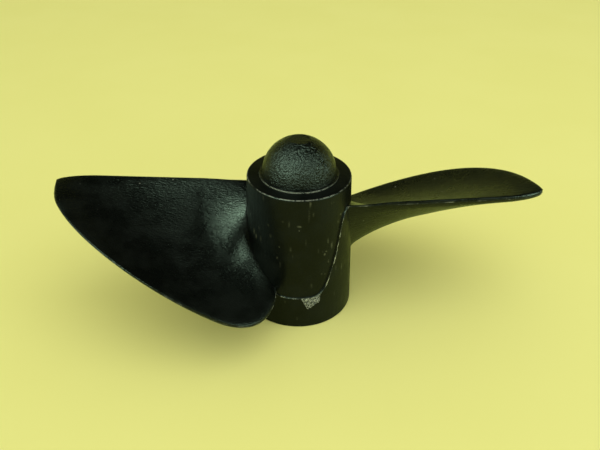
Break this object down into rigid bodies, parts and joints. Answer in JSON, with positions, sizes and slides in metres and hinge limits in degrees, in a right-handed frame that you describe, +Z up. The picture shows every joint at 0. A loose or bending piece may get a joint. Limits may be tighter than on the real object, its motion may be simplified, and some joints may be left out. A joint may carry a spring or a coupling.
{
  "type": "model boat propeller",
  "caption": "Small moulded plastic screw propeller with a tapered hub that ends in a dome, for pushing a model boat.",
  "frame": {"origin": "on the shaft axis, at the flat lower end of the hub", "axes": "+Z up the shaft axis towards the dome, X along the line through both blade tips, Y across them"},
  "size_m": [0.04, 0.0184, 0.0155],
  "materials": {
    "black_plastic": "black moulded plastic, satin with a fine grain, scuffed on the edges"
  },
  "bodies": {
    "root": {"propeller": "black_plastic"}
  },
  "joints": []
}
